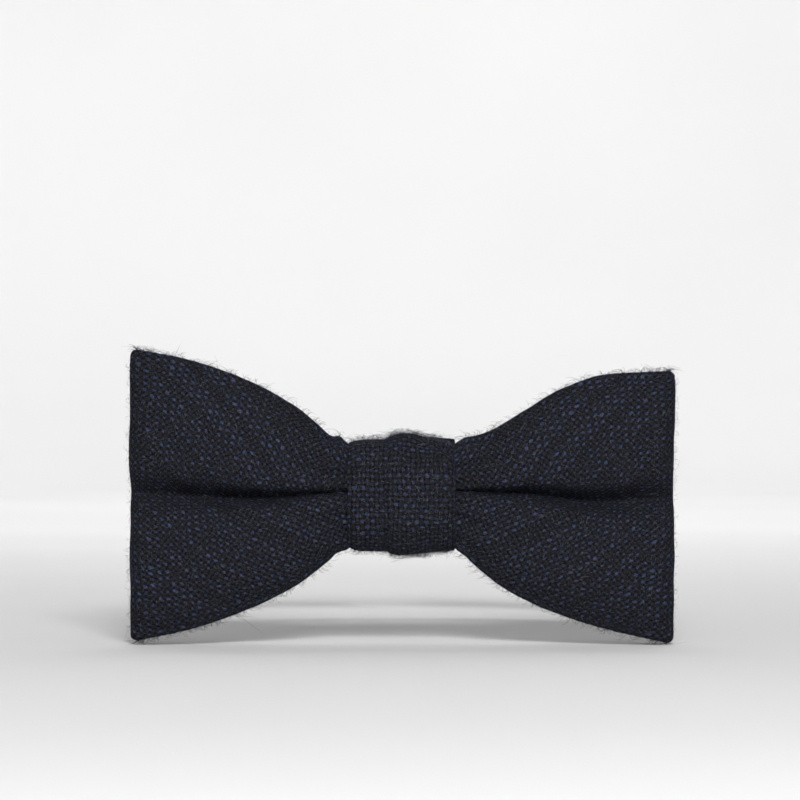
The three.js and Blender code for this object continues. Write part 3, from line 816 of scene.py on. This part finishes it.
def lining(canvas):
    """The canvas inside the knot, a little narrower than its cloth."""
    path = knot_path(-KNOT_LAYER - 0.2)
    x = steps(KNOT_LEFT + 2.4, KNOT_RIGHT - 2.4, 1.0)
    points, out, along = round_waist(path, x)
    flat = stacked(x, along[:, None])
    name = "knot_lining_canvas"
    obj, _ = strip(name, points, out, RIGHT, flat, CANVAS_HALF, canvas, fine_weave, ring=True)
    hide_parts("knot_lining")
    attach(obj, "root")


def rolled(distance, reach, depth):
    """How far cloth sinks at a distance from an edge that rolls under."""
    t = np.clip(1 - distance / reach, 0, 1)
    return depth * (1 - np.sqrt(1 - 0.98 * t * t)) / (1 - math.sqrt(0.02))


def under_lift(x, z):
    """The layer below the knot's pleat: its left side rolls under, and it sinks below the pleat."""
    depth = 1.5 - 0.8 * smoothstep(6, 11, np.abs(z))
    return -rolled(x - KNOT_LEFT, 2.8, depth) - 0.5 * smoothstep(KNOT_PLEAT_X, KNOT_PLEAT_X + 4, x)


def over_lift(x, z):
    """The pleat's layer: a soft left edge, fullest on top just right of it, and a right side that rolls
    under."""
    top = smoothstep(4, 12, z)
    crest = (0.5 * top + 0.1) * np.exp(-(((x + 0.2) / 5) ** 2))
    fall = 0.35 + 0.1 * smoothstep(-4, -12, z) + 0.45 * smoothstep(1, 11, x)
    fall += 0.35 * top * smoothstep(1, 9, x) + (1.3 * top + 0.3) * smoothstep(7.8, 11.5, x)
    left = rolled(x - KNOT_PLEAT_X, 2.4 + 1.8 * top, 0.9 + 0.3 * top)
    depth = 1.9 - 0.9 * smoothstep(6, 11, np.abs(z))
    return crest - fall - left - rolled(KNOT_RIGHT - x, 3.2, depth)


# ---- The neck band ----

def on_arc(angle, radius):
    """Plan place at an angle round the neck from the knot, in degrees, and a radius."""
    t = np.radians(angle)
    return stacked(radius * np.sin(t), AXIS_Y - radius * np.cos(t))


def arc_path(a0, a1, radius):
    count = max(2, int(abs(a1 - a0)) + 1)
    return on_arc(np.linspace(a0, a1, count), radius)


def bar_turn(angle, bar_radius, turn_radius, side):
    """Round a bar, from the outer layer to the inner one."""
    bar = on_arc(angle, bar_radius)
    outward = on_arc(angle, bar_radius + 1) - bar
    forward = np.array([-outward[1], outward[0]]) * side
    t = np.radians(np.arange(0, 181, 10))[:, None]
    return bar + turn_radius * (np.cos(t) * outward + np.sin(t) * forward)


def on_edge(path, z, side=1):
    """Points and normals of cloth that stands on edge along a plan path, out from the neck if side is 1."""
    tangent = side * unit(np.gradient(path, axis=0))
    points, out = (np.zeros((len(path), z.shape[-1], 3)) for _ in range(2))
    points[..., :2] = path[:, None]
    points[..., 2] = z
    out[..., :2] = stacked(tangent[:, 1], -tangent[:, 0])[:, None]
    return points, out


def strap_piece(name, path, thick, start, cloth, round_ends=()):
    """A piece of the strap standing on edge along a plan path. thick is its thickness at its two ends, and
    start its distance along the strap from the strap's middle."""
    path = resampled(path, 0.5)
    along = arc_lengths(path)
    half = np.interp(along, [0, along[-1]], np.array(thick) / 2)[:, None]
    w = np.linspace(-1, 1, 41)
    z = w[None, :] * (STRAP_HALF - half)
    points, out = on_edge(path, z)
    ripple = 0.07 * wander(start + along[:, None], z, 18.0, 90)
    points += out * (ripple * (1 - w[None, :] ** 4))[..., None]
    flat = stacked(start + along[:, None], z)
    relief = 0.06
    obj, _ = strip(name, points, out, UP, flat, half, cloth, on_bias, relief, round_ends=round_ends)
    return obj


def neck_band(cloth):
    """The strap's pieces. Some are left where they are made, unattached; each of the others rides on one
    body.
    """
    side_start, rear_start, end_start = 48, 78, 165  # degrees at which one piece takes over from another
    return_start, return_end = 158, 124
    left_end_stops = 159
    apart = 0.001  # degrees between the two front pieces
    # Millimetres along the strap, for its unevenness and its weave
    right_end_starts, left_rear_starts, return_starts, tail_starts = 178.5, 84.4, 201.0, 236.0
    turn_radius = BAND_R - CLASP_R
    full, thin = (STRAP_THICK, STRAP_THICK), (RETURN_THICK, RETURN_THICK)

    def bent(name, a0, a1, nodes):
        start = math.radians(abs(a0)) * BAND_R
        path = arc_path(a0, a1, BAND_R)
        obj = strap_piece(name, path, full, start, cloth)
        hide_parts(*(f"neckband_{node}" for node in nodes))
        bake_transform(obj)

    for word, way, a0 in (("right", 1, 0.0), ("left", -1, -apart)):
        bodies, nodes = ("root", f"{word}_front"), ("centre", f"{word}_front")
        bent(f"strap_front_{word}", a0, way * side_start, nodes)
    for word, way in (("right", 1), ("left", -1)):
        bodies = (f"{word}_front", f"{word}_rear")
        bent(f"strap_side_{word}", way * side_start, way * rear_start, bodies)
    bodies, nodes = ("right_rear", "hook_end"), ("right_rear", "right_slack")
    bent("strap_rear_right", rear_start, end_start, nodes)

    def rigid(name, path, thick, start, body, nodes, round_ends=()):
        obj = strap_piece(name, path, thick, start, cloth, round_ends)
        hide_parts(*nodes)
        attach(obj, body)

    taper = (STRAP_THICK, RETURN_THICK)
    right_end = np.vstack([
        arc_path(end_start, CLASP_AT - 1, BAND_R),
        bar_turn(CLASP_AT, CLASP_R, turn_radius, 1),
        arc_path(CLASP_AT - 1, return_start, RETURN_R),
    ])
    rigid("strap_end_right", right_end, taper, right_end_starts, "hook_end", ["right_end_fold"])
    left_end = np.vstack([
        arc_path(-rear_start, 1 - CLASP_AT, BAND_R),
        bar_turn(-CLASP_AT, CLASP_R, turn_radius, -1),
        arc_path(1 - CLASP_AT, -left_end_stops, RETURN_R),
    ])
    left_nodes = ["neckband_left_rear", "left_end_fold"]
    rigid("strap_rear_left", left_end, taper, left_rear_starts, "left_rear", left_nodes, (1,))

    return_path = arc_path(return_start, return_end, RETURN_R)
    obj = strap_piece("strap_return", return_path, thin, return_starts, cloth)
    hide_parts("neckband_return")
    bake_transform(obj)

    tail = np.vstack([
        arc_path(return_end, SLIDER_AT + 9, RETURN_R),
        on_arc(SLIDER_AT + 4, SLIDER_BAR_R - TAIL_LOOP_R + 0.15)[None, :],
        bar_turn(SLIDER_AT, SLIDER_BAR_R, TAIL_LOOP_R, -1)[::-1],
        on_arc(SLIDER_AT + 5, SLIDER_BAR_R + TAIL_LOOP_R - 0.1)[None, :],
    ])
    rigid("strap_tail_loop", tail, thin, tail_starts, "slider", ["tail_end_loop"], (1,))


# ---- Stitches, label, nap ----

def bar_tack(tubes, angle, inset):
    """A close zigzag of thread across the strap, inset from the inner face of its inner layer."""
    radius = RETURN_R - RETURN_THICK / 2 - inset
    centre = on_arc(angle, radius)
    outward = on_arc(angle, radius + 1) - centre
    forward = np.array([-outward[1], outward[0]])
    count = 26
    line = []
    for k in range(count + 1):
        z = -TACK_HALF + 2 * TACK_HALF * k / count
        aside = 0.75 * (1 if k % 2 else -1)
        for lift, share in ((-0.12, 0.9), (0.1, 1.0), (-0.12, 0.9)):
            spot = centre + forward * aside * share + outward * lift
            line.append((spot[0], spot[1], z + (share - 0.9) * 0.8))
    tubes.add(np.array(line), STITCH_RADIUS)


def stitch_run(tubes, start, end, lift, count, share=0.6):
    """A row of stitches from start to end; each arches a little along lift."""
    start, end, lift = (np.asarray(p, float) for p in (start, end, lift))
    for k in range(count):
        a = start + (end - start) * (k + 0.5 - share / 2) / count
        b = start + (end - start) * (k + 0.5 + share / 2) / count
        t = np.linspace(0, 1, 7)[:, None]
        arch = np.sin(math.pi * t) * STITCH_RADIUS * 1.3 - STITCH_RADIUS * 0.8
        tubes.add(a + (b - a) * t + lift * arch, STITCH_RADIUS)


def fibre(tubes, root, normal, rise, length, thick=1.0):
    """One loose fibre that lifts off the cloth and curls back."""
    aside = unit(np.cross(normal, rng.normal(size=3)))
    bend = unit(np.cross(normal, aside)) * rng.normal() * 0.8
    t = np.linspace(0, 1, 6)[:, None]
    arch = rise * np.sin(t * rng.uniform(1.6, 3.0)) - 0.06
    line = root + normal * arch + aside * length * t + bend * length * t * t
    tubes.add(line, thick * rng.uniform(0.018, 0.032), rng.random(), taper=True)


def nap(surfaces, edges, material):
    """Loose fibres on the wool: short ones all over it, longer ones where it turns away from the front.
    Each surface and edge has its share of their number."""
    tubes = Tubes(sides=3)
    for points, normals, share in surfaces:
        count = int(3 * NAP_FIBRES * share)
        rows = rng.integers(0, points.shape[0], count)
        columns = rng.integers(2, points.shape[1] - 2, count)
        for i, j in zip(rows, columns):
            turned = 1 - abs(normals[i, j, 1])
            if rng.random() < 0.3 + 0.15 * turned:
                rise = rng.uniform(0.1, 0.4) + turned * rng.uniform(0, 1.1)
                fibre(tubes, points[i, j], normals[i, j], rise, rng.uniform(0.5, 1.9))
    for line, normals, share in edges:
        for i in rng.integers(0, len(line), int(NAP_FIBRES * share / 20)):
            lean = unit(normals[i] + rng.normal(size=3) * 0.3)
            fibre(tubes, line[i], lean, rng.uniform(0.2, 1.1), rng.uniform(0.8, 2.4), 1.6)
    obj = tubes.build("wool_nap", material)
    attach(obj, "root")


def care_label(tape, thread):
    """A blank label sewn to the strap's inner face along its two ends."""
    low, high = box_mm("care_label")
    ends = ((low[0], high[1]), (high[0], low[1]))
    from_angle, to_angle = (polar(np.array(end) * MM)[0] for end in ends)
    radius = BAND_R - STRAP_THICK / 2 - 0.5
    path = resampled(arc_path(from_angle, to_angle, radius), 0.4)
    along = arc_lengths(path)
    z = np.linspace(low[2] + 0.2, high[2] - 0.2, 31)
    points, out = on_edge(path, z, -1)
    middle = np.sin(math.pi * along / along[-1])[:, None]
    points += out * (0.25 * middle + 0.08 * wander(along[:, None], z[None, :], 9.0, 83) * middle)[..., None]
    flat = stacked(along[:, None], z)
    obj, _ = strip("care_label_tape", points, out, UP, flat, TAPE_HALF, tape, fine_weave)
    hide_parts("care_label")
    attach(obj, "root")
    tubes = Tubes()
    for k in (2, len(path) - 3):
        lift = out[k, 0]
        foot = np.append(path[k], 0) + lift * TAPE_HALF
        stitch_run(tubes, foot + [0, 0, z[0] + 0.6], foot + [0, 0, z[-1] - 0.6], lift, 7)
    obj = tubes.build("label_stitches", thread)
    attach(obj, "root")


# ---- The whole ----

wool = woven("wool_cloth", *WOOL)
canvas_cloth = woven("canvas", *CANVAS, bump=0.00006, loose=0.0)
label_tape = woven("label_tape", *TAPE, bump=0.00003, loose=0.0)
thread = thread_material()
nickel = metal_material()
fibres = fibre_material()

left_wing, left_seen, left_edges = wing(-1, "bow_wing_left", wool)
right_wing, right_seen, right_edges = wing(1, "bow_wing_right", wool)
interfacing(-1, "loop_canvas_left", canvas_cloth)
interfacing(1, "loop_canvas_right", canvas_cloth)
rear_layer = underlay(wool)

knot_under, under_seen, under_edges = knot_layer(
    "knot_under_layer", KNOT_LEFT, KNOT_UNDER_END, 0.0, under_lift, wool, 100
)
knot_over, over_seen, over_edges = knot_layer(
    "knot_over_layer", KNOT_PLEAT_X, KNOT_RIGHT, KNOT_LAYER, over_lift, wool, 110
)

lining(canvas_cloth)
neck_band(wool)
care_label(label_tape, thread)

nap(
    [(*left_seen, 0.3), (*right_seen, 0.3), (*under_seen, 0.16), (*over_seen, 0.24)],
    left_edges + right_edges + under_edges + over_edges,
    fibres,
)


def stitches(name, node, body, draw, *details):
    """A piece of thread in place of a CAD node; draw adds its tubes."""
    tubes = Tubes()
    draw(tubes, *details)
    obj = tubes.build(name, thread)
    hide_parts(node)
    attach(obj, body)


def closing(tubes):
    """Slip stitches along the knot's underside."""
    low, high = box_mm("knot_closing_stitches")
    y = (low[1] + high[1]) / 2
    cloth = over_seen[0].reshape(-1, 3)
    under = cloth[(np.abs(cloth[:, 1] - y) < 0.5) & (cloth[:, 2] < 0)]
    ends = [max(low[0], KNOT_PLEAT_X + 1.5), min(high[0], KNOT_RIGHT - 2.5)]
    feet = [(x, y, under[np.abs(under[:, 0] - x) < 0.6, 2].min()) for x in ends]
    stitch_run(tubes, feet[0], feet[1], (0, 0, -1), 6, 0.7)


stitches("left_tack_stitches", "left_end_tack", "left_rear", bar_tack, -161, 0.1)
stitches("tail_tack_stitches", "tail_tack", "slider", bar_tack, SLIDER_AT + 8, 0.5)
stitches("knot_slip_stitches", "knot_closing_stitches", "root", closing)

for node in ("hook_clasp", "eye_clasp", "slider_frame"):
    obj = frame["nodes"][node]
    obj.data.materials.clear()
    obj.data.materials.append(nickel)
    bevel = obj.modifiers.new("edges", "BEVEL")
    bevel.width = 0.00014
    bevel.segments = 2
    bevel.limit_method = "ANGLE"
gather = frame["nodes"]["gather_thread"]
gather.data.materials.clear()
gather.data.materials.append(thread)

# ---- Light, floor, camera ----

def bowl():
    """A pale floor that curves up into a round backdrop."""
    g = Graph("studio_floor")
    tone = g.noise(g.object_place(), 3.0, 2.0)
    g.paint(g.mix(g.between(tone, 0.3, 0.7), *FLOOR_TONES), 0.9)
    floor_z = CAD_BOX[0].z / MM - 0.3
    flat, bend, top = 1700.0, 700.0, 2600.0
    profile = [(flat * k / 6, floor_z) for k in range(7)]
    turns = np.radians(np.arange(7.5, 91, 7.5))
    profile += [(flat + bend * math.sin(t), floor_z + bend * (1 - math.cos(t))) for t in turns]
    profile.append((flat + bend, floor_z + top))
    around = np.radians(np.arange(0, 360, 5))
    points = [(0.0, 0.0, floor_z)]
    points += [(r * math.cos(t), r * math.sin(t), z) for r, z in profile[1:] for t in around]
    n = len(around)
    faces = [[0, 1 + k, 1 + (k + 1) % n] for k in range(n)]
    for i in range(len(profile) - 2):
        for k in range(n):
            a, b = 1 + i * n + k, 1 + i * n + (k + 1) % n
            faces.append([a, a + n, b + n, b])
    obj = new_mesh("studio_floor", points, faces, g.material)


def area_light(name, place, target, size, power):
    """A round lamp. Its place, target and size are in metres, and its power in watts."""
    data = bpy.data.lights.new(name, "AREA")
    data.shape = "DISK"
    data.size = size
    data.energy = power
    obj = new_object(name, data)
    obj.location = place
    aim = np.array(target) - np.array(place)
    obj.rotation_mode = "QUATERNION"
    obj.rotation_quaternion = Vector(aim).to_track_quat("-Z", "Y")


def camera():
    """Dead in front, on a level with a point above the bow, so that the bow sits low in the frame."""
    distance, frame_width = 1000.0, 178.8
    middle_x, face_y, eye_z = -0.45, -20, 21.5
    data = bpy.data.cameras.new("camera")
    data.sensor_width = 36
    data.lens = data.sensor_width * distance / frame_width
    data.clip_start, data.clip_end = 0.05, 20
    obj = new_object("camera", data)
    obj.location = (middle_x * MM, (face_y - distance) * MM, eye_z * MM)
    obj.rotation_euler = (math.pi / 2, 0, 0)
    bpy.context.scene.camera = obj


bowl()
area_light("key", (0.1, -1.35, 0.62), (0, 0, 0), 0.45, 23)
area_light("fill", (-0.3, -1.45, 0.08), (0, 0, 0), 0.7, 4)
area_light("back", (0.2, 0.9, 0.9), (0, 0.05, 0), 0.7, 1)
area_light("backdrop", (0, 0.9, 1.6), (0, 2.6, 0.4), 1.5, 26)
world = bpy.data.worlds.new("studio")
world.use_nodes = True
background = world.node_tree.nodes["Background"]
background.inputs["Color"].default_value = (1, 1, 1, 1)
background.inputs["Strength"].default_value = 0.09
bpy.context.scene.world = world
bpy.context.scene.view_settings.view_transform = "Standard"
camera()
